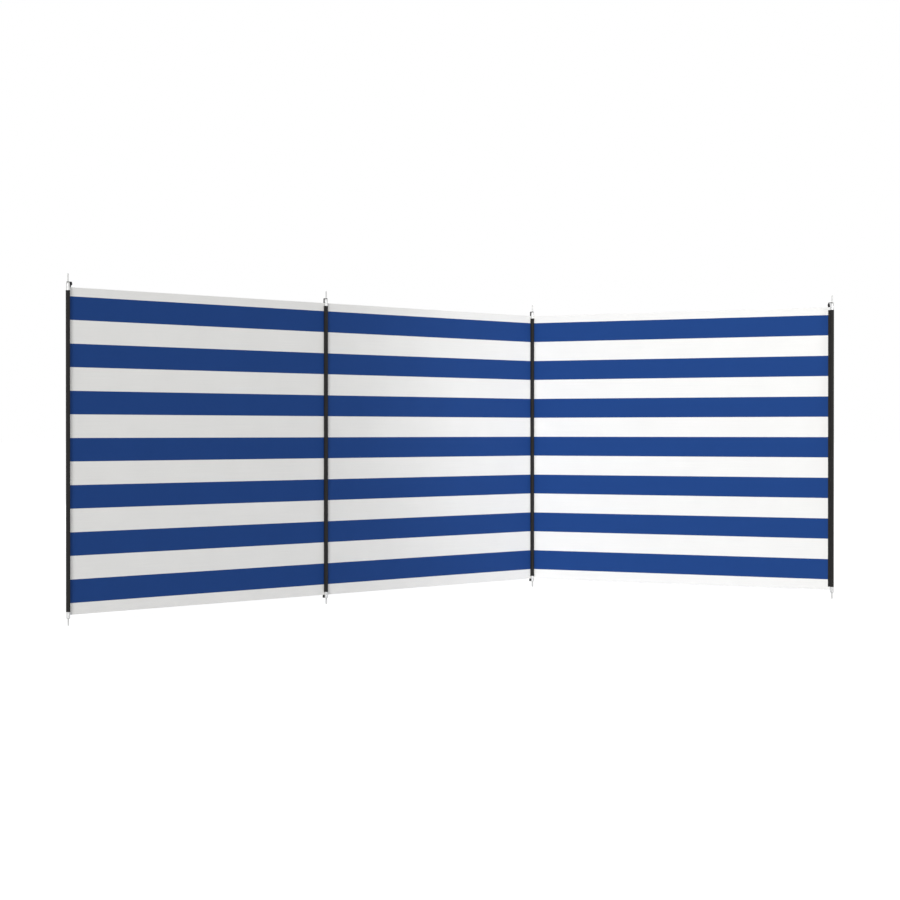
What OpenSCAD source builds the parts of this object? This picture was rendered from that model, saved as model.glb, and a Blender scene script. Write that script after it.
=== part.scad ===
// Beach windbreak: three bays of striped cloth held up by four steel poles.
// The origin is at the foot of pole 3, the corner pole, with +Z up. Bays 1 and 2 run from it
// along -X in one line and bay 3 runs from it along -Y. Each bay turns about the axis of the
// pole that it shares with bay 2. The poles stand on the front of the cloth.

/* [Poles] */
// Height of a pole, from the tip of its spike to the tip of its top pin
pole_h = 1500; // [1200:10:1800]
// Outer diameter of the pole's tube
tube_d = 16; // [13:0.5:20]
// Wall of the pole's tube
tube_wall = 0.8; // [0.6:0.1:1.5]
// Diameter of the top pin
pin_d = 6; // [4:0.5:7]
// Length of the top pin above its collar
pin_l = 38; // [25:1:45]
// Height of the collar that closes the top of the tube
collar_h = 6; // [4:1:14]
// Diameter of the ground spike
spike_d = 6; // [5:0.5:8]
// Length of the ground spike below its taper
spike_l = 28; // [20:1:40]
// Height of the taper between the tube and the spike
taper_h = 4; // [3:1:10]
// Length of the stem that each end piece has inside the tube
stem_l = 25; // [15:1:40]

/* [Cloth] */
// Distance between the axes of the two poles of a bay
bay_w = 1780; // [1200:10:2000]
// Height of the cloth's lower edge above the tips of the spikes
cloth_lift = 44.5; // [40:0.5:70]
// Distance of the cloth's upper edge below the tips of the top pins
cloth_drop = 57.5; // [55:0.5:80]
// Height of the white band under the lowest blue stripe
bottom_band = 50; // [20:1:80]
// Height of the white band over the highest blue stripe
top_band = 38.5; // [20:0.5:60]
// Thickness that stands for the cloth and its hems
cloth_t = 2; // [1.5:0.1:2.5]
// Distance from a pole's axis to a bay's cloth, in diameters of the tube
seam_share = 1.5; // [1.5:0.1:2]

/* [Sleeves and tapes] */
// Wall of the sleeve round a pole
sleeve_wall = 0.9; // [0.6:0.1:1.2]
// Distance from each edge of the cloth to the end of a sleeve
sleeve_inset = 14; // [6:1:20]
// Width of the tape that holds a pole's top
strap_w = 12; // [11:0.5:13]
// Thickness of the tape, which straps and tabs use folded double
tape_t = 1.6; // [1:0.1:2]
// Distance from an end pole's axis to the far face of its strap
end_reach = 21; // [19:0.5:23]
// Length of a strap or a hem tab that is sewn to the cloth
sewn_l = 12; // [8:1:20]
// Width of the tab under the hem at a middle pole
tab_w = 20; // [14:1:24]
// Length of that tab below the cloth
tab_drop = 14.5; // [10:0.5:30]

/* [Fits] */
// Gap between the sleeve and its pole, on the radius
pole_play = 0.3; // [0.2:0.05:0.5]
// Gap between soft pieces that lie side by side
soft_gap = 0.3; // [0.2:0.05:0.5]
// Gap between the strap's hole and the foot of the pin, on the radius
hole_play = 0.3; // [0.2:0.05:0.5]
// Gap between a stem and the inside of the tube, on the radius
stem_play = 0.1; // [0.05:0.05:0.3]

/* [Hidden] */
$fn = 64;
poles = [1, 2, 3, 4];
middle_poles = [2, 3];
stripe_count = 13;

// Heights
tube_bottom = spike_l + taper_h;
shoulder_z = pole_h - pin_l;
tube_top = shoulder_z - collar_h;
cloth_top = pole_h - cloth_drop;
cloth_h = cloth_top - cloth_lift;
stripe_h = (cloth_h - bottom_band - top_band) / stripe_count;
// Each stripe runs this far into the next, so that the cloth is one piece
stripe_lap = 0.01;

// Radii about a pole's axis
tube_r = tube_d / 2;
bore_r = tube_r + pole_play;
sleeve_r = bore_r + sleeve_wall;
stem_d = tube_d - 2 * tube_wall - 2 * stem_play;
tip_d = spike_d * 2 / 3;
tip_h = 3;
collar_chamfer = 1.5;
pin_chamfer = 1;

// Straps and tabs are tape folded double, and the pin's foot flares out inside a strap's hole
double_t = 2 * tape_t;
pin_flare = 0.4;
pin_flare_h = double_t + soft_gap;

// Where a bay's cloth meets the strip behind a pole
seam_r = seam_share * tube_d;

// The cloth lies against the back of the poles
cloth_face = bore_r;
cloth_back = cloth_face + cloth_t;

// Where each pole stands
function pole_pos(n) = n < 4 ? [(n - 3) * bay_w, 0, 0] : [0, -bay_w, 0];

// The bays that leave a pole: heading from the pole, and the side that the cloth is on
function bays_at(n) =
    n == 1 ? [[0, 1]] :
    n == 2 ? [[180, -1], [0, 1]] :
    n == 3 ? [[180, -1], [-90, 1]] :
    [[90, -1]];

// ---- Poles ----

module tube(n) {
    color("gainsboro")
        translate(pole_pos(n) + [0, 0, tube_bottom])
            difference() {
                cylinder(d = tube_d, h = tube_top - tube_bottom);
                translate([0, 0, -1])
                    cylinder(d = tube_d - 2 * tube_wall, h = tube_top - tube_bottom + 2);
            }
}

// Collar with a stem inside the tube and a pin that the strap hooks over
module top_pin(n) {
    color("silver")
        translate(pole_pos(n) + [0, 0, tube_top]) {
            translate([0, 0, -stem_l])
                cylinder(d = stem_d, h = stem_l);
            cylinder(d = tube_d, h = collar_h - collar_chamfer);
            translate([0, 0, collar_h - collar_chamfer])
                cylinder(d1 = tube_d, d2 = tube_d - 2 * collar_chamfer, h = collar_chamfer);
            translate([0, 0, collar_h])
                cylinder(d1 = pin_d + 2 * pin_flare, d2 = pin_d, h = pin_flare_h);
            cylinder(d = pin_d, h = collar_h + pin_l - pin_chamfer);
            translate([0, 0, collar_h + pin_l - pin_chamfer])
                cylinder(d1 = pin_d, d2 = pin_d - 2 * pin_chamfer, h = pin_chamfer);
        }
}

// Stem inside the tube, taper and spike with a blunt tip
module ground_spike(n) {
    color("silver")
        translate(pole_pos(n)) {
            translate([0, 0, tube_bottom])
                cylinder(d = stem_d, h = stem_l);
            translate([0, 0, spike_l])
                cylinder(d1 = spike_d, d2 = tube_d, h = taper_h);
            translate([0, 0, tip_h])
                cylinder(d = spike_d, h = spike_l + taper_h - tip_h);
            cylinder(d1 = tip_d, d2 = spike_d, h = tip_h);
        }
}

// ---- Cloth ----

// A flat shape seen from above, raised to the cloth's height and cut into its stripes
module striped() {
    color("whitesmoke")
        translate([0, 0, cloth_lift])
            linear_extrude(bottom_band + stripe_lap)
                children();
    for (i = [0:stripe_count - 1])
        color(i % 2 == 0 ? "midnightblue" : "whitesmoke")
            translate([0, 0, cloth_lift + bottom_band + i * stripe_h])
                linear_extrude(stripe_h + stripe_lap)
                    children();
    color("whitesmoke")
        translate([0, 0, cloth_top - top_band])
            linear_extrude(top_band)
                children();
}

// One bay's cloth, along +X from one pole's axis to the next. It stops at a seam where the
// next bay goes on, and at the pole's axis where the windbreak ends.
module bay_cloth(seams) {
    striped()
        difference() {
            translate([0, cloth_face])
                square([bay_w, cloth_t]);
            for (x = seams)
                translate([x, 0])
                    circle(r = seam_r + soft_gap / 2);
        }
}

// The cloth behind a middle pole, out to the seam with the bay of this heading
module back_strip(heading, side) {
    intersection() {
        rotate(heading)
            translate([0, side > 0 ? cloth_face : -cloth_back])
                square([seam_r, cloth_t]);
        circle(r = seam_r - soft_gap / 2);
    }
}

// The cloth that turns the corner behind pole 3
module corner_wrap() {
    intersection() {
        difference() {
            circle(r = cloth_back);
            circle(r = cloth_face);
        }
        square(cloth_back);
    }
}

module back_cloth(n) {
    translate(pole_pos(n))
        striped() {
            for (bay = bays_at(n))
                back_strip(bay[0], bay[1]);
            if (n == 3)
                corner_wrap();
        }
}

// ---- Sleeves ----

// Where the cloth of this heading closes the sleeve's back
module sleeve_back(heading, side) {
    depth = sleeve_r + soft_gap;
    rotate(heading)
        translate([-soft_gap, side > 0 ? cloth_face - soft_gap : -depth])
            square([depth, depth - cloth_face + soft_gap]);
}

// The pocket sewn to the front of the cloth, round the front of a pole
module sleeve(n) {
    color("dimgray")
        translate(pole_pos(n) + [0, 0, cloth_lift + sleeve_inset])
            linear_extrude(cloth_h - 2 * sleeve_inset)
                difference() {
                    circle(r = sleeve_r);
                    circle(r = bore_r);
                    for (bay = bays_at(n))
                        sleeve_back(bay[0], bay[1]);
                    if (n == 3)
                        square(sleeve_r);
                }
}

// ---- Straps and tabs ----

// Tape with a hole over the pin, bent down at its far end, drawn along +X from the pole axis.
// The leg may sit off the middle so that it lies against the cloth.
module strap_shape(reach, leg_shift) {
    translate([0, 0, shoulder_z])
        linear_extrude(double_t)
            difference() {
                union() {
                    circle(d = strap_w);
                    translate([0, -strap_w / 2])
                        square([reach, strap_w]);
                    translate([reach - double_t, leg_shift - strap_w / 2])
                        square([double_t, strap_w]);
                }
                circle(r = pin_d / 2 + pin_flare + hole_play);
            }
    translate([reach - double_t, leg_shift - strap_w / 2, cloth_top - sewn_l])
        cube([double_t, strap_w, shoulder_z + double_t - cloth_top + sewn_l]);
}

// End poles: the strap reaches in along the bay and its leg lies beside the cloth's front.
// Middle poles: the strap goes straight back and its leg lies on the cloth's back.
module strap(n) {
    side = bays_at(n)[0][1];
    end_shift = side * (cloth_face - soft_gap - strap_w / 2);
    color("black")
        translate(pole_pos(n))
            if (n == 1 || n == 4)
                rotate(bays_at(n)[0][0])
                    strap_shape(end_reach, end_shift);
            else
                rotate(90)
                    strap_shape(cloth_back + soft_gap + double_t, 0);
}

// Folded tape sewn behind the lower hem at a middle pole
module hem_tab(n) {
    color("black")
        translate(pole_pos(n) + [-tab_w / 2, cloth_back + soft_gap, cloth_lift - tab_drop])
            cube([tab_w, double_t, tab_drop + sewn_l]);
}

module left_bay_cloth() {
    translate(pole_pos(1))
        bay_cloth(seams = [bay_w]);
}

module middle_bay_cloth() {
    translate(pole_pos(2))
        bay_cloth(seams = [0, bay_w]);
}

module right_bay_cloth() {
    translate(pole_pos(3))
        rotate(-90)
            bay_cloth(seams = [0]);
}

// ---- Drawing ----

for (n = poles) {
    tube(n);
    top_pin(n);
    ground_spike(n);
    sleeve(n);
    strap(n);
}
for (n = middle_poles) {
    back_cloth(n);
    hem_tab(n);
}
left_bay_cloth();
middle_bay_cloth();
right_bay_cloth();
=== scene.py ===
"""Beach windbreak: one striped cloth in three bays, on four steel poles.

Lengths are in metres, with +Z up and the origin at the foot of pole 3, the corner pole.
The left and middle bays run along -X from it, and the right bay runs along -Y.
The poles stand on the front of the cloth. Near a pole, places are given as (u, v, z):
u along the cloth, v from the pole's axis towards the cloth's back, and z up.
"""
import math

import bpy
import numpy as np
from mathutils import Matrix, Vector


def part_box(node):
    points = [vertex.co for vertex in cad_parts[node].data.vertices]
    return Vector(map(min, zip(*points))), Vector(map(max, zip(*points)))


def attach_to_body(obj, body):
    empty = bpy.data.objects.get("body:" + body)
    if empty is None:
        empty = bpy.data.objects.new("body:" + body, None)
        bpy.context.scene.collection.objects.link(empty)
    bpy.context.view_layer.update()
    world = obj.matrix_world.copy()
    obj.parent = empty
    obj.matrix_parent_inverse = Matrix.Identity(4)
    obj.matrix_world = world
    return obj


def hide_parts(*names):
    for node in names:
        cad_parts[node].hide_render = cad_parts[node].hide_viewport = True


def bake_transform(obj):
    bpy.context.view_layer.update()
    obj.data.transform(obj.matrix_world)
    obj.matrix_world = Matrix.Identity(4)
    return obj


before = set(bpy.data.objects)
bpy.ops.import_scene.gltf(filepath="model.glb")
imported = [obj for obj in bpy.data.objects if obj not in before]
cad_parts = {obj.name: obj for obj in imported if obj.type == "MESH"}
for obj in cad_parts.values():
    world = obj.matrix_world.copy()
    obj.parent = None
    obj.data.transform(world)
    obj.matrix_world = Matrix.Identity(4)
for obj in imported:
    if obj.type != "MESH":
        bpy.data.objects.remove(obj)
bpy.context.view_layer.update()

# ---- Sizes ----

MM = 0.001

# The cloth: white bands at its two hems, and blue and white stripes between them
STRIPES = 13
BOTTOM_BAND = 50 * MM
TOP_BAND = 38.5 * MM
CLOTH_T = 0.5 * MM
CLOTH_V = 9.3 * MM        # from a pole's axis to the middle of the cloth
TOP_HEM = 15 * MM
BOTTOM_HEM = 11 * MM
HEM_TURNS = 2             # a hem is turned twice, so it takes this many times its height
HEM_FOLD_T = HEM_TURNS * CLOTH_T
HEM_STITCH = 2.2 * MM     # from a hem's folded inner edge to its stitches
SEWN_IN = 0.18 * MM       # how deep the thread pulls the cloth in

# How far from a pole's axis, along the cloth, one bay's cloth ends and the next begins
BEND_2 = 28 * MM
BEND_3 = 36 * MM

# Sleeves
SLEEVE_IN = 8.05 * MM
SLEEVE_T = 0.5 * MM
SLEEVE_HEM = 8 * MM
SLEEVE_HEM_T = 0.4 * MM
FLANGE = {1: 18.5 * MM, 4: 27 * MM}     # reach of an end sleeve's flange along the cloth
FLANGE_ROWS = {1: (16.5 * MM,), 4: (16 * MM, 24.5 * MM)}
BACK_ROWS = (-3.6 * MM, 3.6 * MM)

# Tape of the straps and tabs, used folded double
STRAP_W = 12 * MM
TAPE_T = 1.5 * MM
TAPE_SLIT = 0.15 * MM     # between its two layers
HOLE_R = 3.7 * MM
STRAP_BEND = 3.2 * MM     # radius of the bend in a strap's middle
AHEAD_OF_PIN = 9 * MM     # where a strap's route starts, before the pin
TURNED_BACK_END = 11 * MM         # reach of the lower layer past the pin, at an end pole
TURNED_BACK_MIDDLE = 6.5 * MM     # and at a middle pole

# Thread
STITCH_PITCH = 4.5 * MM
STITCH_L = 3.6 * MM
HEM_THREAD = 0.5 * MM
TAPE_THREAD = 0.6 * MM

HARD_EDGE = math.radians(50)      # sharper edges than this are shaded hard

X, Y, Z = np.eye(3)


def foot_of(tube):
    """Where a pole stands on the ground."""
    low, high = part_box(tube)
    return np.array([(low.x + high.x) / 2, (low.y + high.y) / 2, 0])


poles = {n: foot_of(f"pole_{n}_tube") for n in (1, 2, 3, 4)}
bay_w = poles[3][0] - poles[2][0]
cloth_bottom, cloth_top = (corner.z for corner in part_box("middle_bay_cloth"))
stripe_h = (cloth_top - cloth_bottom - BOTTOM_BAND - TOP_BAND) / STRIPES
sleeve_bottom, sleeve_top = (corner.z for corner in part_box("pole_1_sleeve"))
tongue_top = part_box("pole_1_strap")[1].z


# ---- Camera, light and floor ----

def make_camera():
    data = bpy.data.cameras.new("camera")
    data.lens = 108.6
    data.sensor_width = 36
    data.clip_end = 200
    camera = bpy.data.objects.new("camera", data)
    camera.location = (-12.032, -8.026, 0.826)
    camera.rotation_euler = (math.radians(89.615), 0, math.radians(-54.555))
    bpy.context.collection.objects.link(camera)
    bpy.context.scene.camera = camera


def add(tree, kind, inputs=None, **settings):
    """A node with its settings and inputs. An input is a value, or a socket to link."""
    made = tree.nodes.new(kind)
    for key, value in settings.items():
        setattr(made, key, value)
    for key, value in (inputs or {}).items():
        if isinstance(value, bpy.types.NodeSocket):
            tree.links.new(value, made.inputs[key])
        else:
            made.inputs[key].default_value = value
    return made


def calc(tree, operation, *values):
    """The result of one Math node."""
    inputs = dict(enumerate(values))
    return add(tree, "ShaderNodeMath", inputs, operation=operation).outputs[0]


def seen_directly(tree):
    """1 for rays that show the background itself, and 0 for rays that light the object."""
    path = add(tree, "ShaderNodeLightPath")
    return calc(tree, "MAXIMUM", path.outputs["Is Camera Ray"], path.outputs["Is Transmission Ray"])


def make_world(ambient, in_metal):
    world = bpy.data.worlds.new("studio")
    world.use_nodes = True
    tree = world.node_tree
    tree.nodes.clear()
    mirrored = add(tree, "ShaderNodeLightPath").outputs["Is Glossy Ray"]
    strength = calc(tree, "MULTIPLY_ADD", mirrored, in_metal - ambient, ambient)
    light = add(tree, "ShaderNodeBackground", {"Color": (1, 1, 1, 1), "Strength": strength})
    white = add(tree, "ShaderNodeBackground", {"Color": (1, 1, 1, 1), "Strength": 1})
    mix = add(tree, "ShaderNodeMixShader", {
        0: seen_directly(tree), 1: light.outputs[0], 2: white.outputs[0]})
    add(tree, "ShaderNodeOutputWorld", {"Surface": mix.outputs[0]})
    bpy.context.scene.world = world


def make_floor(size, glow, share_of_glow):
    """A pale floor. What the camera sees of it is part glow, and the rest keeps the shadow."""
    material = bpy.data.materials.new("floor")
    material.use_nodes = True
    tree = material.node_tree
    tree.nodes.clear()
    matt = add(tree, "ShaderNodeBsdfDiffuse", {"Color": (0.82, 0.82, 0.82, 1)})
    shine = add(tree, "ShaderNodeEmission", {"Color": (1, 1, 1, 1), "Strength": glow})
    share = calc(tree, "MULTIPLY", seen_directly(tree), share_of_glow)
    mix = add(tree, "ShaderNodeMixShader", {0: share, 1: matt.outputs[0], 2: shine.outputs[0]})
    add(tree, "ShaderNodeOutputMaterial", {"Surface": mix.outputs[0]})
    mesh = bpy.data.meshes.new("floor")
    half = size / 2
    mesh.from_pydata(
        [(-half, -half, 0), (half, -half, 0), (half, half, 0), (-half, half, 0)],
        [], [(0, 1, 2, 3)])
    mesh.materials.append(material)
    floor = bpy.data.objects.new("floor", mesh)
    bpy.context.collection.objects.link(floor)


def make_lamp(name, kind, at, aim, power, **settings):
    data = bpy.data.lights.new(name, kind)
    data.energy = power
    for key, value in settings.items():
        setattr(data, key, value)
    lamp = bpy.data.objects.new(name, data)
    lamp.location = at
    lamp.rotation_euler = (Vector(aim) - Vector(at)).to_track_quat("-Z", "Y").to_euler()
    bpy.context.collection.objects.link(lamp)


bpy.context.scene.view_settings.view_transform = "Standard"
make_camera()
make_world(ambient=0.45, in_metal=0.9)
make_floor(size=400, glow=1.25, share_of_glow=0.7)
make_lamp("key", "SUN", (-18, -9, 9.5), (0, 0, 0), 2.35, angle=math.radians(14))
make_lamp("corner", "SPOT", (-1.6, -7, 3.2), (-0.15, 0, 1), 700,
          spot_size=math.radians(22), spot_blend=1, shadow_soft_size=0.6)
make_lamp("back_fill", "AREA", (9, 13, 9), (-1.5, 0, 0.8), 1200, size=7)


# ---- Materials ----

def new_material(name, viewport):
    """An empty material, its tree and the shader that ends it."""
    material = bpy.data.materials.new(name)
    material.use_nodes = True
    material.diffuse_color = (*viewport, 1)
    tree = material.node_tree
    tree.nodes.clear()
    shader = add(tree, "ShaderNodeBsdfPrincipled")
    add(tree, "ShaderNodeOutputMaterial", {"Surface": shader.outputs[0]})
    return material, tree, shader


def between(tree, factor, low, high):
    """A number from low to high as factor goes from 0 to 1."""
    return add(tree, "ShaderNodeMapRange", {"Value": factor, "To Min": low, "To Max": high}).outputs[0]


def noise(tree, vector, scale, detail=2):
    return add(tree, "ShaderNodeTexNoise", {
        "Vector": vector, "Scale": scale, "Detail": detail}).outputs[0]


def stretched(tree, vector, scale):
    return add(tree, "ShaderNodeMapping", {"Vector": vector, "Scale": scale}).outputs[0]


def weave_height(tree, u, v, pitch_u, pitch_v):
    """Plain weave: threads that pass over and under each other, from -1 to 1."""
    across = calc(tree, "SINE", calc(tree, "MULTIPLY", u, 2 * math.pi / pitch_u))
    up = calc(tree, "SINE", calc(tree, "MULTIPLY", v, 2 * math.pi / pitch_v))
    return calc(tree, "MULTIPLY", across, up)


def shaded(tree, colour, shade):
    """A colour made lighter or darker by a number near 1."""
    return add(tree, "ShaderNodeVectorMath", {0: colour, "Scale": shade}, operation="SCALE").outputs[0]


def bump(tree, height, distance, strength):
    return add(tree, "ShaderNodeBump", {
        "Height": height, "Distance": distance, "Strength": strength}).outputs[0]


def weave_coordinates(tree):
    """The piece's own map, in metres: u along the cloth or round a sleeve, v up or along a tape."""
    uv = add(tree, "ShaderNodeUVMap", uv_map="weave").outputs[0]
    parts = add(tree, "ShaderNodeSeparateXYZ", {0: uv})
    return uv, parts.outputs[0], parts.outputs[1]


def make_striped_cloth():
    """Woven polyester in blue and white stripes, with uneven yarns, and painted shade in the dips of
    its weave.
    """
    material, tree, shader = new_material("striped_cloth", (0.02, 0.07, 0.27))
    uv, u, v = weave_coordinates(tree)
    above = calc(tree, "SUBTRACT", v, cloth_bottom + BOTTOM_BAND)
    pairs = calc(tree, "DIVIDE", above, 2 * stripe_h)
    blue = calc(tree, "LESS_THAN", calc(tree, "FRACT", pairs), 0.5)
    colour = add(tree, "ShaderNodeMix", {
        0: blue, 6: (0.83, 0.825, 0.805, 1), 7: (0.0125, 0.0525, 0.21, 1)}, data_type="RGBA").outputs[2]
    weave = weave_height(tree, u, v, 1.1 * MM, 1.1 * MM)
    yarns = noise(tree, stretched(tree, uv, (3, 900, 1)), 1, detail=1)
    patches = noise(tree, uv, 5)
    shade = calc(tree, "MULTIPLY",
                 between(tree, yarns, 0.95, 1.05), between(tree, patches, 0.97, 1.03))
    # Painted shade and light: the weave's dips are a little darker and its raised threads a little
    # lighter.
    shade = calc(tree, "MULTIPLY", shade, calc(tree, "MULTIPLY_ADD", weave, 0.03, 0.985))
    tree.links.new(shaded(tree, colour, shade), shader.inputs["Base Color"])
    tree.links.new(between(tree, yarns, 0.72, 0.86), shader.inputs["Roughness"])
    tree.links.new(bump(tree, weave, 0.12 * MM, 0.5), shader.inputs["Normal"])
    shader.inputs["Specular IOR Level"].default_value = 0.1
    return material


def make_sleeve_cloth():
    """Black polyester with a fine twill and a little fluff. The twill's dips are painted darker and its
    ridges lighter, as painted shade and light.
    """
    material, tree, shader = new_material("sleeve_cloth", (0.02, 0.02, 0.02))
    uv, u, v = weave_coordinates(tree)
    slant = calc(tree, "ADD", u, v)
    twill = calc(tree, "SINE", calc(tree, "MULTIPLY", slant, 2 * math.pi / (0.9 * MM)))
    fluff = noise(tree, uv, 260, detail=4)
    # Painted shade in the twill's dips and painted light on its ridges.
    lines = calc(tree, "MULTIPLY_ADD", twill, 0.15, 0.95)
    shade = calc(tree, "MULTIPLY", between(tree, fluff, 0.7, 1.35), lines)
    tree.links.new(shaded(tree, (0.0135, 0.0125, 0.012), shade), shader.inputs["Base Color"])
    tree.links.new(between(tree, fluff, 0.68, 0.88), shader.inputs["Roughness"])
    tree.links.new(bump(tree, twill, 0.15 * MM, 0.6), shader.inputs["Normal"])
    shader.inputs["Specular IOR Level"].default_value = 0.25
    return material


def make_webbing():
    """Black ribbed tape: ribs across its width, in rows that step along it, with painted shade in their
    dips and painted light on their tops.
    """
    material, tree, shader = new_material("webbing", (0.015, 0.015, 0.015))
    uv, u, v = weave_coordinates(tree)
    ribs = weave_height(tree, u, v, 2.4 * MM, 1.2 * MM)
    worn = noise(tree, uv, 400, detail=3)
    # Painted shade in the ribs' dips and painted light on their tops.
    lines = calc(tree, "MULTIPLY_ADD", ribs, 0.2, 0.9)
    shade = calc(tree, "MULTIPLY", between(tree, worn, 0.7, 1.4), lines)
    tree.links.new(shaded(tree, (0.012, 0.012, 0.0125), shade), shader.inputs["Base Color"])
    tree.links.new(between(tree, worn, 0.6, 0.8), shader.inputs["Roughness"])
    tree.links.new(bump(tree, ribs, 0.3 * MM, 0.8), shader.inputs["Normal"])
    return material


def make_thread(name, colour):
    """Twisted sewing thread."""
    material, tree, shader = new_material(name, colour)
    place = add(tree, "ShaderNodeTexCoord").outputs["Object"]
    twist = noise(tree, place, 2500)
    tree.links.new(shaded(tree, colour, between(tree, twist, 0.85, 1.1)), shader.inputs["Base Color"])
    tree.links.new(bump(tree, twist, 0.1 * MM, 0.5), shader.inputs["Normal"])
    shader.inputs["Roughness"].default_value = 0.6
    return material


def make_galvanised():
    """Galvanised tube: soft crystals in the zinc and fine scratches along it."""
    material, tree, shader = new_material("galvanised", (0.6, 0.6, 0.6))
    place = add(tree, "ShaderNodeTexCoord").outputs["Object"]
    crystals = add(tree, "ShaderNodeTexVoronoi", {"Vector": place, "Scale": 260}).outputs["Color"]
    crystal = add(tree, "ShaderNodeSeparateXYZ", {0: crystals}).outputs[0]
    scratches = noise(tree, stretched(tree, place, (1500, 1500, 18)), 1, detail=3)
    shade = calc(tree, "MULTIPLY",
                 between(tree, crystal, 0.9, 1.06), between(tree, scratches, 0.93, 1.05))
    tree.links.new(shaded(tree, (0.78, 0.78, 0.775), shade), shader.inputs["Base Color"])
    rough = calc(tree, "ADD", between(tree, crystal, 0.3, 0.42), between(tree, scratches, -0.05, 0.08))
    tree.links.new(rough, shader.inputs["Roughness"])
    tree.links.new(bump(tree, scratches, 0.05 * MM, 0.25), shader.inputs["Normal"])
    shader.inputs["Metallic"].default_value = 1
    return material


def make_zinc_plate():
    """Zinc-plated turned steel: fine rings round it, and dull spots where it is handled."""
    material, tree, shader = new_material("zinc_plate", (0.62, 0.62, 0.6))
    place = add(tree, "ShaderNodeTexCoord").outputs["Object"]
    rings = noise(tree, stretched(tree, place, (30, 30, 5000)), 1, detail=2)
    spots = noise(tree, place, 140, detail=3)
    shade = calc(tree, "MULTIPLY", between(tree, spots, 0.9, 1.06), between(tree, rings, 0.95, 1.04))
    tree.links.new(shaded(tree, (0.66, 0.66, 0.65), shade), shader.inputs["Base Color"])
    tree.links.new(between(tree, spots, 0.22, 0.42), shader.inputs["Roughness"])
    tree.links.new(bump(tree, rings, 0.03 * MM, 0.3), shader.inputs["Normal"])
    shader.inputs["Metallic"].default_value = 1
    return material


striped_cloth = make_striped_cloth()
sleeve_cloth = make_sleeve_cloth()
webbing = make_webbing()
white_thread = make_thread("white_thread", (0.74, 0.735, 0.72))
black_thread = make_thread("black_thread", (0.02, 0.02, 0.02))
galvanised = make_galvanised()
zinc_plate = make_zinc_plate()

for n in poles:
    for part, material in (("tube", galvanised), ("top_pin", zinc_plate), ("ground_spike", zinc_plate)):
        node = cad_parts[f"pole_{n}_{part}"]
        for holder in node.material_slots:
            holder.material = material


# ---- Making meshes ----

def new_object(name, mesh, material):
    mesh.materials.clear()
    mesh.materials.append(material)
    made = bpy.data.objects.new(name, mesh)
    bpy.context.collection.objects.link(made)
    return made


def outward(points, quads):
    """The faces of a closed solid, turned so that they point outwards."""
    a, b, c, d = (points[np.array(quads)[:, k]] for k in range(4))
    volume = (a * (np.cross(b, c) + np.cross(c, d))).sum()
    return quads if volume > 0 else [quad[::-1] for quad in quads]


def solid_mesh(name, points, faces, uv):
    """A smooth mesh with hard rims, and its weave map, one (u, v) for each point."""
    mesh = bpy.data.meshes.new(name)
    mesh.from_pydata(points.tolist(), [], outward(points, faces))
    corner_points = np.empty(len(mesh.loops), np.int32)
    mesh.loops.foreach_get("vertex_index", corner_points)
    layer = mesh.uv_layers.new(name="weave")
    layer.data.foreach_set("uv", np.asarray(uv, np.float32)[corner_points].ravel())
    mesh.shade_smooth()
    mesh.set_sharp_from_angle(angle=HARD_EDGE)
    return mesh


def rim_of(quads):
    """The edges that only one face uses, each in that face's direction."""
    edges = {}
    for quad in quads:
        for a, b in zip(quad, quad[1:] + quad[:1]):
            if (b, a) in edges:
                del edges[b, a]
            else:
                edges[a, b] = True
    return list(edges)


def thick(one_side, other_side, quads, uv):
    """Points, faces and map of the solid between two sides that share their faces."""
    count = len(one_side)
    faces = list(quads) + [[i + count for i in quad[::-1]] for quad in quads]
    faces += [[b, a, a + count, b + count] for a, b in rim_of(quads)]
    return np.concatenate([one_side, other_side]), faces, np.concatenate([uv, uv])


def grid_quads(rows, columns, round_again=False):
    """The faces of a grid of points, closed across its columns if it goes round."""
    steps = columns if round_again else columns - 1
    return [
        [i * columns + j, i * columns + (j + 1) % columns,
         (i + 1) * columns + (j + 1) % columns, (i + 1) * columns + j]
        for i in range(rows - 1) for j in range(steps)
    ]


def corner_cut(line, times=3):
    """A line of points with its corners rounded by cutting them again and again."""
    line = np.asarray(line, float)
    for _ in range(times):
        a, b = line[:-1], line[1:]
        cut = np.stack([0.75 * a + 0.25 * b, 0.25 * a + 0.75 * b], 1).reshape(-1, line.shape[1])
        line = np.concatenate([line[:1], cut, line[-1:]])
    return line


def lengths(line):
    """How far along a line each of its points is."""
    return np.concatenate([[0], np.cumsum(np.linalg.norm(np.diff(line, axis=0), axis=1))])


# ---- Geometry Nodes: the ripple of taut cloth, and stitches ----

def new_tree(name, inputs):
    """An empty Geometry Nodes tree with named inputs, and its input and output nodes."""
    tree = bpy.data.node_groups.new(name, "GeometryNodeTree")
    tree.interface.new_socket("Geometry", in_out="INPUT", socket_type="NodeSocketGeometry")
    for label, kind, value in inputs:
        socket = tree.interface.new_socket(label, in_out="INPUT", socket_type=f"NodeSocket{kind}")
        if value is not None:
            socket.default_value = value
    tree.interface.new_socket("Geometry", in_out="OUTPUT", socket_type="NodeSocketGeometry")
    return tree, add(tree, "NodeGroupInput").outputs, add(tree, "NodeGroupOutput").inputs


RIPPLE_INPUTS = (
    ("Along", "Vector", (1, 0, 0)),          # from a bay's first pole to its second
    ("Back", "Vector", (0, 1, 0)),           # towards the cloth's back
    ("First Pole", "Float", 0),              # where the first pole is, measured along
    ("Bay Width", "Float", 1.78),
    ("Ripple Height", "Float", 1.6 * MM),    # of the broad ripple over the whole bay
    ("Ripple Width", "Float", 0.42),
    ("Pull Height", "Float", 0.5 * MM),      # of the short folds that run in from the poles
    ("Seed", "Float", 0),
)


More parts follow.
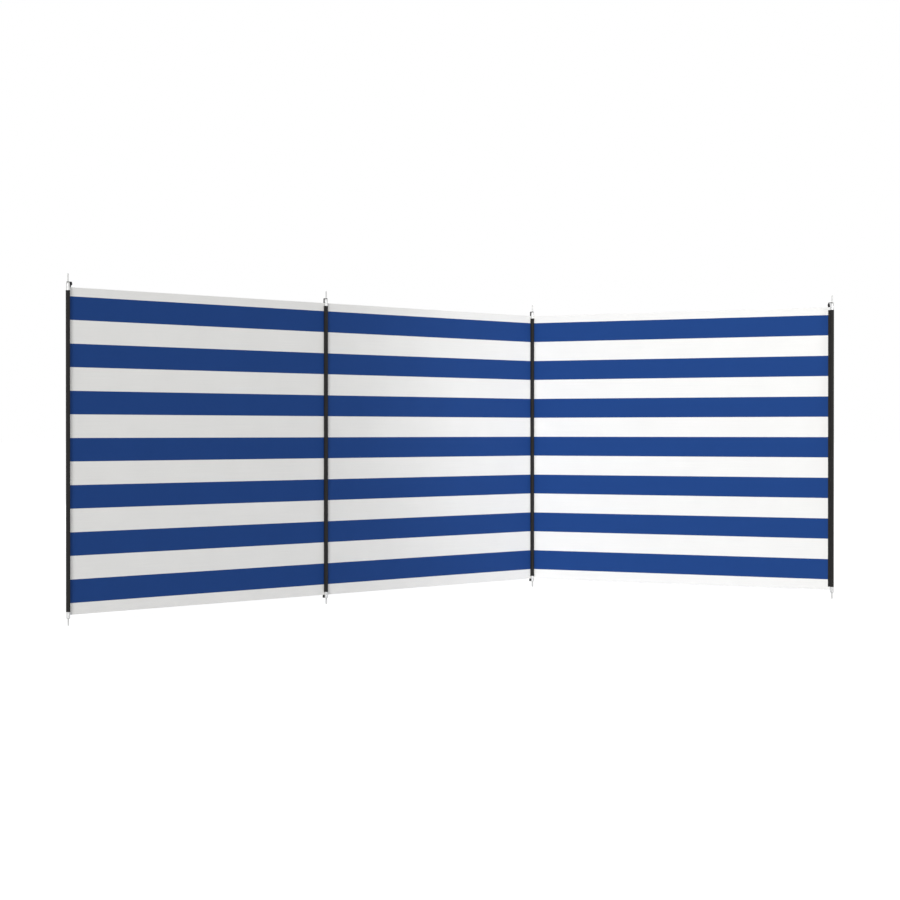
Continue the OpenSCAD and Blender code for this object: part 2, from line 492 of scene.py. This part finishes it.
def ripple_tree():
    """Cloth between two poles: a broad shallow ripple, and small folds beside the poles."""
    tree, given, result = new_tree("taut_ripple", RIPPLE_INPUTS)
    place = add(tree, "GeometryNodeInputPosition").outputs[0]
    across = add(tree, "ShaderNodeVectorMath", {0: place, 1: given["Along"]}, operation="DOT_PRODUCT")
    reach = calc(tree, "SUBTRACT", across.outputs["Value"], given["First Pole"])
    to_pole = calc(tree, "MINIMUM", reach, calc(tree, "SUBTRACT", given["Bay Width"], reach))
    height = add(tree, "ShaderNodeSeparateXYZ", {0: place}).outputs[2]

    def fade(start, end, low=0.0, high=1.0):
        return add(tree, "ShaderNodeMapRange", {
            "Value": to_pole, "From Min": start, "From Max": end, "To Min": low, "To Max": high,
        }, interpolation_type="SMOOTHSTEP").outputs[0]

    def wave(width, tallness, size, share):
        where = add(tree, "ShaderNodeCombineXYZ", {
            0: calc(tree, "DIVIDE", reach, width),
            1: calc(tree, "DIVIDE", height, tallness),
            2: given["Seed"]}).outputs[0]
        level = calc(tree, "SUBTRACT", noise(tree, where, 1, detail=1), 0.5)
        full = calc(tree, "MULTIPLY", level, calc(tree, "MULTIPLY", size, 2))
        return calc(tree, "MULTIPLY", full, share)

    broad = wave(given["Ripple Width"], calc(tree, "MULTIPLY", given["Ripple Width"], 1.6),
                 given["Ripple Height"], fade(0.03, 0.4))
    near_pole = calc(tree, "MULTIPLY", fade(0.03, 0.1), fade(0.1, 0.45, 1.0, 0.0))
    pulls = wave(0.35, 0.045, given["Pull Height"], near_pole)
    shift = add(tree, "ShaderNodeVectorMath", {
        0: given["Back"], "Scale": calc(tree, "ADD", broad, pulls)}, operation="SCALE").outputs[0]
    moved = add(tree, "GeometryNodeSetPosition", {"Geometry": given["Geometry"], "Offset": shift})
    tree.links.new(moved.outputs[0], result[0])
    return tree


def rippled(tree, given, ripple):
    """The tree's geometry after the ripple, which takes its inputs from the tree's own."""
    passed = {label: given[label] for label, *_ in RIPPLE_INPUTS}
    passed["Geometry"] = given["Geometry"]
    return add(tree, "GeometryNodeGroup", passed, node_tree=ripple).outputs[0]


def cloth_tree(ripple):
    """A flat cloth, rippled."""
    tree, given, result = new_tree("taut_cloth", RIPPLE_INPUTS + (("Material", "Material", None),))
    finished = add(tree, "GeometryNodeSetMaterial", {
        "Geometry": rippled(tree, given, ripple), "Material": given["Material"]})
    tree.links.new(finished.outputs[0], result[0])
    return tree


def stitch_tree(ripple):
    """Rows of stitches along lines that lie on the cloth and ripple with it."""
    tree, given, result = new_tree("stitch_rows", RIPPLE_INPUTS + (
        ("Pitch", "Float", STITCH_PITCH),
        ("Stitch Length", "Float", STITCH_L),
        ("Thread", "Float", HEM_THREAD),
        ("Material", "Material", None)))
    bent = rippled(tree, given, ripple)
    lines = add(tree, "GeometryNodeMeshToCurve", {"Mesh": bent}).outputs[0]
    steps = add(tree, "GeometryNodeCurveToPoints", {
        "Curve": lines, "Length": given["Pitch"]}, mode="LENGTH")
    size = add(tree, "ShaderNodeCombineXYZ", {
        0: given["Thread"], 1: given["Thread"], 2: given["Stitch Length"]}).outputs[0]
    bead = add(tree, "GeometryNodeMeshUVSphere", {"Segments": 6, "Rings": 4, "Radius": 0.5})
    placed = add(tree, "GeometryNodeInstanceOnPoints", {
        "Points": steps.outputs["Points"], "Instance": bead.outputs[0],
        "Rotation": steps.outputs["Rotation"], "Scale": size})
    real = add(tree, "GeometryNodeRealizeInstances", {"Geometry": placed.outputs[0]})
    finished = add(tree, "GeometryNodeSetMaterial", {
        "Geometry": real.outputs[0], "Material": given["Material"]})
    tree.links.new(finished.outputs[0], result[0])
    return tree


def grown(source, tree, values):
    """The plain mesh object that a tree makes of a source object, which it takes the place of."""
    modifier = source.modifiers.new("shape", "NODES")
    modifier.node_group = tree
    for item in tree.interface.items_tree:
        if item.in_out == "INPUT" and item.name in values:
            modifier[item.identifier] = values[item.name]
    depsgraph = bpy.context.evaluated_depsgraph_get()
    depsgraph.update()
    mesh = bpy.data.meshes.new_from_object(source.evaluated_get(depsgraph))
    source.modifiers.clear()
    old = source.data
    source.data = mesh
    bpy.data.meshes.remove(old)
    mesh.name = source.name
    return source


ripple = ripple_tree()
taut_cloth = cloth_tree(ripple)
stitch_rows = stitch_tree(ripple)


def stitches(name, rows, material, thread, ripple_values=None):
    """Stitches along rows, each row a list of points."""
    points, edges = [], []
    for row in rows:
        start = len(points)
        points += [tuple(p) for p in row]
        edges += [(i, i + 1) for i in range(start, len(points) - 1)]
    mesh = bpy.data.meshes.new(name)
    mesh.from_pydata(points, edges, [])
    values = {"Ripple Height": 0.0, "Pull Height": 0.0}
    values.update(ripple_values or {})
    values.update({"Thread": thread, "Material": material})
    made = grown(new_object(name, mesh, material), stitch_rows, values)
    made.data.shade_smooth()
    return made


# ---- The cloth ----

CORNER_L = CLOTH_V * math.pi / 2     # length of cloth that turns the corner at pole 3


def plan(s, shift=0.0):
    """Where the cloth is, seen from above, s along it from pole 1, and shift towards its back."""
    v = CLOTH_V + shift
    if s <= 2 * bay_w:
        return poles[1] + s * X + v * Y
    turn = min((s - 2 * bay_w) / CORNER_L, 1) * math.pi / 2
    past = max(s - 2 * bay_w - CORNER_L, 0)
    return poles[3] + v * math.sin(turn) * X + (v * math.cos(turn) - past) * Y


def hem_faces(d, hem):
    """Front and back of the cloth, from its middle plane, at d from the edge of a hem."""
    front, back = -CLOTH_T / 2, CLOTH_T / 2
    if d < hem:
        step = min((hem - d) / (0.6 * MM), 1)
        back += HEM_FOLD_T * math.sin(step * math.pi / 2)
        dent = SEWN_IN * math.exp(-(((hem - d) - HEM_STITCH) / (0.9 * MM)) ** 2)
        front += dent
        back -= dent
    round_r = (CLOTH_T + HEM_FOLD_T) / 2
    if d < round_r:
        middle = (front + back) / 2
        share = math.sqrt(1 - (1 - max(d, 0.02 * MM) / round_r) ** 2)
        front, back = middle + (front - middle) * share, middle + (back - middle) * share
    return front, back


def heights():
    """Levels of the cloth's points: close together in the hems, even between them."""
    def edge(hem):
        near = np.array([0, 0.12, 0.3, 0.55, 0.8, 1.4]) * MM
        seam = hem - HEM_STITCH + np.array([-2.4, -1.2, -0.6, 0, 0.6, 1.2]) * MM
        fold = hem - np.array([0.6, 0.4, 0.2, 0.05, -0.02, -0.8, -4]) * MM
        return np.concatenate([near, [(near[-1] + seam[0]) / 2], seam, fold])
    low = cloth_bottom + edge(BOTTOM_HEM)
    high = cloth_top - edge(TOP_HEM)[::-1]
    return np.concatenate([low, np.linspace(low[-1], high[0], 58)[1:-1], high])


def columns(start, end):
    """Places along the cloth: close together where it passes a pole, even between them."""
    fine = []
    for s in (0, bay_w, 2 * bay_w, 2 * bay_w + CORNER_L, 3 * bay_w + CORNER_L):
        fine.append(np.arange(s - 42 * MM, s + 42 * MM, 2 * MM))
    fine.append(np.linspace(2 * bay_w, 2 * bay_w + CORNER_L, 13))
    coarse = np.arange(0, 3 * bay_w + CORNER_L, 24 * MM)
    away = [s for s in coarse if all(abs(s - f).min() > 12 * MM for f in fine)]
    every = np.unique(np.round(np.concatenate(fine + [away]), 5))
    inner = every[(every > start + 0.8 * MM) & (every < end - 0.8 * MM)]
    return np.concatenate([[start], inner, [end]])


def cloth_solid(name, start, end):
    """The cloth from start to end, flat between the poles, with its hems folded to the back."""
    levels, places = heights(), columns(start, end)
    sides = ([], [])
    uv = []
    for s in places:
        for z in levels:
            low, high = z - cloth_bottom, cloth_top - z
            offsets = hem_faces(low, BOTTOM_HEM) if low < high else hem_faces(high, TOP_HEM)
            for side, offset in zip(sides, offsets):
                side.append(plan(s, offset) + z * Z)
            uv.append((s, z))
    quads = grid_quads(len(places), len(levels))
    points, faces, uv = thick(np.array(sides[0]), np.array(sides[1]), quads, np.array(uv))
    return new_object(name, solid_mesh(name, points, faces, uv), striped_cloth)


def hem_rows(start, end):
    """The hem stitches of the cloth from start to end: both hems, front and back."""
    rows = []
    inset = STITCH_PITCH / 2
    places = np.concatenate([[start + inset], columns(start, end)[1:-1], [end - inset]])
    for hem, edge, up in ((BOTTOM_HEM, cloth_bottom, 1), (TOP_HEM, cloth_top, -1)):
        d = hem - HEM_STITCH
        for offset in hem_faces(d, hem):
            rows.append([plan(s, offset) + (edge + up * d) * Z for s in places])
    return rows


cut_2 = bay_w + BEND_2                # where the left bay's cloth ends, past pole 2
cut_3 = 2 * bay_w - BEND_3            # where the right bay's cloth starts, before pole 3
cloth_end = 3 * bay_w + CORNER_L
BAYS = {
    "left": (0, cut_2, 1, X, Y, 3.7),
    "middle": (cut_2, cut_3, 2, X, Y, 8.2),
    "right": (cut_3, cloth_end, 3, -Y, X, 14.9),
}

cloths, hem_stitches = {}, {}
for bay, (start, end, first, along, back, seed) in BAYS.items():
    values = {
        "Along": along.tolist(), "Back": back.tolist(), "First Pole": float(poles[first] @ along),
        "Bay Width": bay_w, "Ripple Height": 1.6 * MM, "Ripple Width": 0.42,
        "Pull Height": 0.5 * MM, "Seed": seed}
    flat = cloth_solid(f"{bay}_cloth", start, end)
    cloths[bay] = grown(flat, taut_cloth, {**values, "Material": striped_cloth})
    hem_stitches[bay] = stitches(
        f"{bay}_hem_stitches", hem_rows(start, end), white_thread, HEM_THREAD, values)


# ---- Poles' own directions ----

# For each pole, along the cloth (into the bay at an end pole) and towards its back
SIDES = {1: (X, Y), 2: (X, Y), 3: (X, Y), 4: (Y, X)}
BODY_OF_END = {1: "left_bay", 4: "right_bay"}


def at_pole(n, u, v, z):
    along, back = SIDES[n]
    return poles[n] + u * along + v * back + z * Z


# ---- Sleeves ----

SLEEVE_R = SLEEVE_IN + SLEEVE_T / 2
FRONT_V = CLOTH_V - CLOTH_T / 2 - SLEEVE_T / 2 - 0.03 * MM
BACK_V = CLOTH_V + CLOTH_T / 2 + SLEEVE_T / 2 + 0.03 * MM


def arc(start, end, steps):
    """Points on the sleeve's round part, between two angles in degrees."""
    angles = np.radians(np.linspace(start, end, steps))
    return [(SLEEVE_R * math.cos(a), SLEEVE_R * math.sin(a)) for a in angles]


def end_section(n):
    """Middle line of an end sleeve, seen from above as (u, v): a flange on the cloth's front,
    round the pole, and a flange on the cloth's back."""
    reach = FLANGE[n]
    line = [(reach, FRONT_V), (reach - 3 * MM, FRONT_V), (13 * MM, FRONT_V), (11 * MM, 7.4 * MM)]
    line += arc(-8, -200, 23)
    line += [(-7 * MM, 6.2 * MM), (-4.4 * MM, 9 * MM), (-1 * MM, BACK_V)]
    line += [(6 * MM, BACK_V), (13 * MM, BACK_V), (reach - 3 * MM, BACK_V), (reach, BACK_V)]
    return corner_cut(line, 2)


def middle_section(n):
    """Middle line of a middle sleeve, a closed line: round the pole's front, and flat between
    the pole and the cloth, or round with the cloth where it turns the corner."""
    flat = [(-7.6 * MM, 7.4 * MM), (-6 * MM, FRONT_V), (-3 * MM, FRONT_V), (0, FRONT_V)]
    if n == 2:
        flat += [(3 * MM, FRONT_V), (6 * MM, FRONT_V), (7.6 * MM, 7.4 * MM)]
        line = arc(-8, -172, 25) + flat
    else:
        line = arc(80, -172, 38) + flat[:-1]
    return np.array(line)[::-1]


def sleeve_levels():
    hem = np.array([0, 0.15, 0.45, 2, 4, 6, 7.4, 7.8, 8.2, 9]) * MM
    low, high = sleeve_bottom + hem, sleeve_top - hem[::-1]
    return np.concatenate([low, np.linspace(low[-1], high[0], 60)[1:-1], high])


def sleeve_swell(z):
    """How much the turned hem at a sleeve's end adds to its outside."""
    d = min(z - sleeve_bottom, sleeve_top - z)
    if d > SLEEVE_HEM:
        return 0.0
    return SLEEVE_HEM_T * min((SLEEVE_HEM - d) / (0.5 * MM), 1) * min((d + 0.1 * MM) / (0.5 * MM), 1)


def sleeve(n, section, ring):
    """A sleeve swept up its pole, with turned hems and slight slack on its front."""
    ahead, behind = np.roll(section, -1, 0), np.roll(section, 1, 0)
    if not ring:
        ahead[-1], behind[0] = section[-1], section[0]
    run = ahead - behind
    run /= np.linalg.norm(run, axis=1)[:, None]
    out = np.stack([run[:, 1], -run[:, 0]], 1)
    if not ring:
        out = -out
    along_section = lengths(section)
    inner, outer, uv = [], [], []
    for z in sleeve_levels():
        swell = sleeve_swell(z)
        for (u, v), (out_u, out_v), length in zip(section, out, along_section):
            front = min(max(-v / SLEEVE_IN + 0.25, 0), 1)
            slack = 0.15 * MM * front * math.sin(37 * z + 5 * n) * math.sin(91 * z + 3 * u / MM)
            far = SLEEVE_T / 2 + swell * front + max(slack, 0)
            near = -SLEEVE_T / 2
            outer.append(at_pole(n, u + far * out_u, v + far * out_v, z))
            inner.append(at_pole(n, u + near * out_u, v + near * out_v, z))
            uv.append((length, z))
    quads = grid_quads(len(sleeve_levels()), len(section), ring)
    points, faces, uv = thick(np.array(outer), np.array(inner), quads, np.array(uv))
    name = f"pole_{n}_pocket"
    return new_object(name, solid_mesh(name, points, faces, uv), sleeve_cloth)


def upright(n, u, v, low, high, step=40 * MM):
    count = max(int((high - low) / step), 1) + 1
    return [at_pole(n, u, v, z) for z in np.linspace(low, high, count)]


def sleeve_rows(n):
    """Rows of stitches that hold a sleeve to the cloth."""
    low, high = sleeve_bottom + 3 * MM, sleeve_top - 3 * MM
    if n in (1, 4):
        faces = (FRONT_V - SLEEVE_T / 2, BACK_V + SLEEVE_T / 2)
        return [upright(n, u, v, low, high) for u in FLANGE_ROWS[n] for v in faces]
    return [upright(n, u, CLOTH_V + CLOTH_T / 2, low, high) for u in BACK_ROWS]


pockets = {n: sleeve(n, end_section(n), False) for n in (1, 4)}
pockets.update({n: sleeve(n, middle_section(n), True) for n in (2, 3)})


# ---- Straps and tabs ----

class Route:
    """A tape's middle line, with the direction of its width at each point."""

    def __init__(self, line, widths):
        self.line = np.asarray(line, float)
        self.at = lengths(self.line)
        ways = np.gradient(self.line, axis=0)
        self.ways = ways / np.linalg.norm(ways, axis=1)[:, None]
        widths = np.asarray(widths, float)
        widths = widths - (widths * self.ways).sum(1)[:, None] * self.ways
        self.widths = widths / np.linalg.norm(widths, axis=1)[:, None]
        self.ups = np.cross(self.ways, self.widths)

    def spots(self, length, across, up):
        """Points at a length along the tape, across it and above its middle. Each is a list."""
        def mid(values):
            return np.stack([np.interp(length, self.at, values[:, k]) for k in range(3)], 1)
        across, up = np.array(across)[:, None], np.array(up)[:, None]
        return mid(self.line) + across * mid(self.widths) + up * mid(self.ups)


def tape_with_hole(end):
    """A tape laid flat, as points (length, across) and faces, with a round end round a hole.
    The hole is at length 0, and the tape runs on to end."""
    half = STRAP_W / 2
    spokes = 32
    points, quads = [], []
    for share in (0, 0.5, 1):
        for k in range(spokes):
            a = 2 * math.pi * (k / spokes) - math.pi / 4
            c, s = math.cos(a), math.sin(a)
            rim = half / max(abs(c), abs(s)) if c > 1e-6 else half
            r = HOLE_R + (rim - HOLE_R) * share
            points.append((r * c, r * s))
    for ring in range(2):
        for k in range(spokes):
            a, b = ring * spokes + k, ring * spokes + (k + 1) % spokes
            quads.append([a, b, b + spokes, a + spokes])
    across = spokes // 4 + 1
    edge = [2 * spokes + k for k in range(across)]
    for length in np.arange(half + 1 * MM, end, 1 * MM):
        row = list(range(len(points), len(points) + across))
        points += [(length, points[i][1]) for i in edge]
        quads += [[edge[k], edge[k + 1], row[k + 1], row[k]] for k in range(across - 1)]
        edge = row
    return np.array(points), quads


def plain_tape(end, width):
    """A tape laid flat, as points (length, across) and faces."""
    places = np.arange(0, end, 1 * MM)
    across = np.linspace(-width / 2, width / 2, 9)
    points = [(length, w) for length in places for w in across]
    return np.array(points), grid_quads(len(places), len(across))


def laid(name, route, layers, start=0.0):
    """Flat patterns laid along a route, each with the levels of its lower and upper face."""
    points, faces, uv = [], [], []
    count = 0
    for (flat, quads), low, high in layers:
        half = abs(flat[:, 1]).max()
        middle, thin = (low + high) / 2, (high - low) / 2
        rounded = thin * (1 - 0.4 * abs(flat[:, 1] / half) ** 8)
        sides = [route.spots(flat[:, 0] + start, flat[:, 1], middle + sign * rounded)
                 for sign in (1, -1)]
        part, part_faces, part_uv = thick(sides[0], sides[1], quads, flat[:, ::-1])
        points.append(part)
        faces += [[i + count for i in face] for face in outward(part, part_faces)]
        uv.append(part_uv)
        count += len(part)
    mesh = solid_mesh(name, np.concatenate(points), faces, np.concatenate(uv))
    return new_object(name, mesh, webbing)


# A strap's middle line is that of its upper layer, which runs on to the cloth. The lower
# layer is the tape's end turned back under the pin.
tongue_z = tongue_top - TAPE_T / 2
sewn_z = sleeve_top + 2 * MM
BEHIND_V = CLOTH_V + CLOTH_T / 2 + HEM_FOLD_T + TAPE_T / 2 + 0.1 * MM


def bend_points(reach, steps=8):
    """A strap's bend from level to straight down, as (distance from the pin, z)."""
    angles = np.radians(np.linspace(0, 90, steps))
    r = STRAP_BEND
    return [(reach - r + r * math.sin(a), tongue_z - r + r * math.cos(a)) for a in angles]


def end_strap(n):
    """From the pin over the cloth, then down with a quarter turn to lie flat on its back."""
    reach, foot_u = 18.5 * MM, 23 * MM
    line = [(-AHEAD_OF_PIN, 0, tongue_z), (0, 0, tongue_z), (8 * MM, 0, tongue_z)]
    line += [(u, 0, z) for u, z in bend_points(reach)]
    top, foot = tongue_z - STRAP_BEND, cloth_top + 1 * MM
    widths = [(0, 1, 0)] * len(line)
    for share in np.linspace(0, 1, 14)[1:]:
        smooth = share * share * (3 - 2 * share)
        turn = math.pi / 2 * min(1.4 * smooth, 1)
        line.append((
            reach + (foot_u - reach) * smooth, BEHIND_V * smooth ** 1.5, top + (foot - top) * share))
        widths.append((-math.sin(turn), math.cos(turn), 0))
    line += [(foot_u, BEHIND_V, cloth_top - 4 * MM), (foot_u, BEHIND_V, sewn_z)]
    widths += [(-1, 0, 0)] * 2
    return placed_strap(n, line, widths)


def middle_strap(n):
    """From the pin straight back over the cloth, then down its back."""
    line = [(0, -AHEAD_OF_PIN, tongue_z), (0, 0, tongue_z), (0, 5 * MM, tongue_z)]
    line += [(0, v, z) for v, z in bend_points(BEHIND_V)]
    line.append((0, BEHIND_V, sewn_z))
    return placed_strap(n, line, [(1, 0, 0)] * len(line))


def placed_strap(n, line, widths):
    """A strap along a line of (u, v, z), with its lower layer turned back under the pin."""
    along, back = SIDES[n]
    world = [at_pole(n, *spot) for spot in line]
    world_widths = [w[0] * along + w[1] * back for w in widths]
    route = Route(world, world_widths)
    upper = (tape_with_hole(route.at[-1] - AHEAD_OF_PIN), -TAPE_T / 2, TAPE_T / 2)
    side = 1 if route.ups[0] @ Z > 0 else -1
    under = sorted((-side * (TAPE_T / 2 + TAPE_SLIT), -side * (1.5 * TAPE_T + TAPE_SLIT)))
    turned_back = TURNED_BACK_END if n in BODY_OF_END else TURNED_BACK_MIDDLE
    lower = (tape_with_hole(turned_back), *under)
    return laid(f"pole_{n}_top_strap", route, (upper, lower), AHEAD_OF_PIN), route


def strap_rows(n, route):
    """A crossed box of stitches on the sewn end of a strap."""
    end = route.at[-1]
    low, high, half = end - 10 * MM, end - 1.8 * MM, 3.8 * MM
    box = [(low, -half), (high, -half), (high, half), (low, half), (low, -half)]
    cross = [[(low, -half), (high, half)], [(low, half), (high, -half)]]
    up = TAPE_T / 2
    sign = 1 if route.ups[-1] @ SIDES[n][1] > 0 else -1
    rows = [box[i:i + 2] for i in range(4)] + cross
    return [route.spots([a[0], b[0]], [a[1], b[1]], [sign * up] * 2) for a, b in rows]


def hem_tab(n):
    """Tape folded into a loop under the hem, its two ends sewn to the hem's back."""
    low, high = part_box(f"pole_{n}_hem_tab")
    near = BEHIND_V
    far = near + TAPE_T + 0.1 * MM
    loop_r = 1.5 * MM
    middle = (near + far) / 2
    centre_z = low.z + loop_r + TAPE_T / 2
    line = [(0, near, high.z), (0, near, low.z + 16 * MM), (0, near, low.z + 11 * MM)]
    for a in np.radians(np.linspace(180, 360, 13)):
        line.append((0, middle + loop_r * math.cos(a), centre_z + loop_r * math.sin(a)))
    line += [(0, far, low.z + 11 * MM), (0, far, low.z + 16 * MM), (0, far, high.z)]
    line = corner_cut(line, 2)
    route = Route([at_pole(n, *spot) for spot in line], [SIDES[n][0]] * len(line))
    pattern = plain_tape(route.at[-1], high.x - low.x)
    made = laid(f"pole_{n}_loop_tab", route, ((pattern, -TAPE_T / 2, TAPE_T / 2),))
    rows = []
    for z in (high.z - 2.5 * MM, high.z - 7.5 * MM):
        rows.append([at_pole(n, u, far + TAPE_T / 2, z) for u in np.linspace(-8, 8, 5) * MM])
    return made, rows


def attach(piece, n):
    """A soft piece at pole n moves with its end bay; at a middle pole its place is baked into its mesh.
    """
    if n in BODY_OF_END:
        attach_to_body(piece, BODY_OF_END[n])
    else:
        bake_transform(piece)


for n in poles:
    strap, route = end_strap(n) if n in BODY_OF_END else middle_strap(n)
    rows = sleeve_rows(n) + strap_rows(n, route)
    if n not in BODY_OF_END:
        tab, tab_rows = hem_tab(n)
        rows += tab_rows
        attach(tab, n)
        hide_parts(f"pole_{n}_hem_tab")
    thread = stitches(f"pole_{n}_stitches", rows, black_thread, TAPE_THREAD)
    for piece in (pockets[n], strap, thread):
        attach(piece, n)
    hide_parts(f"pole_{n}_sleeve")
    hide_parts(f"pole_{n}_strap")

for piece in (cloths["left"], hem_stitches["left"]):
    attach(piece, 2)
for piece in (cloths["middle"], hem_stitches["middle"]):
    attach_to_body(piece, "middle_bay")
for piece in (cloths["right"], hem_stitches["right"]):
    attach(piece, 3)

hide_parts("left_bay_cloth", "pole_2_back_cloth")
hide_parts("middle_bay_cloth")
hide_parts("right_bay_cloth", "pole_3_back_cloth")
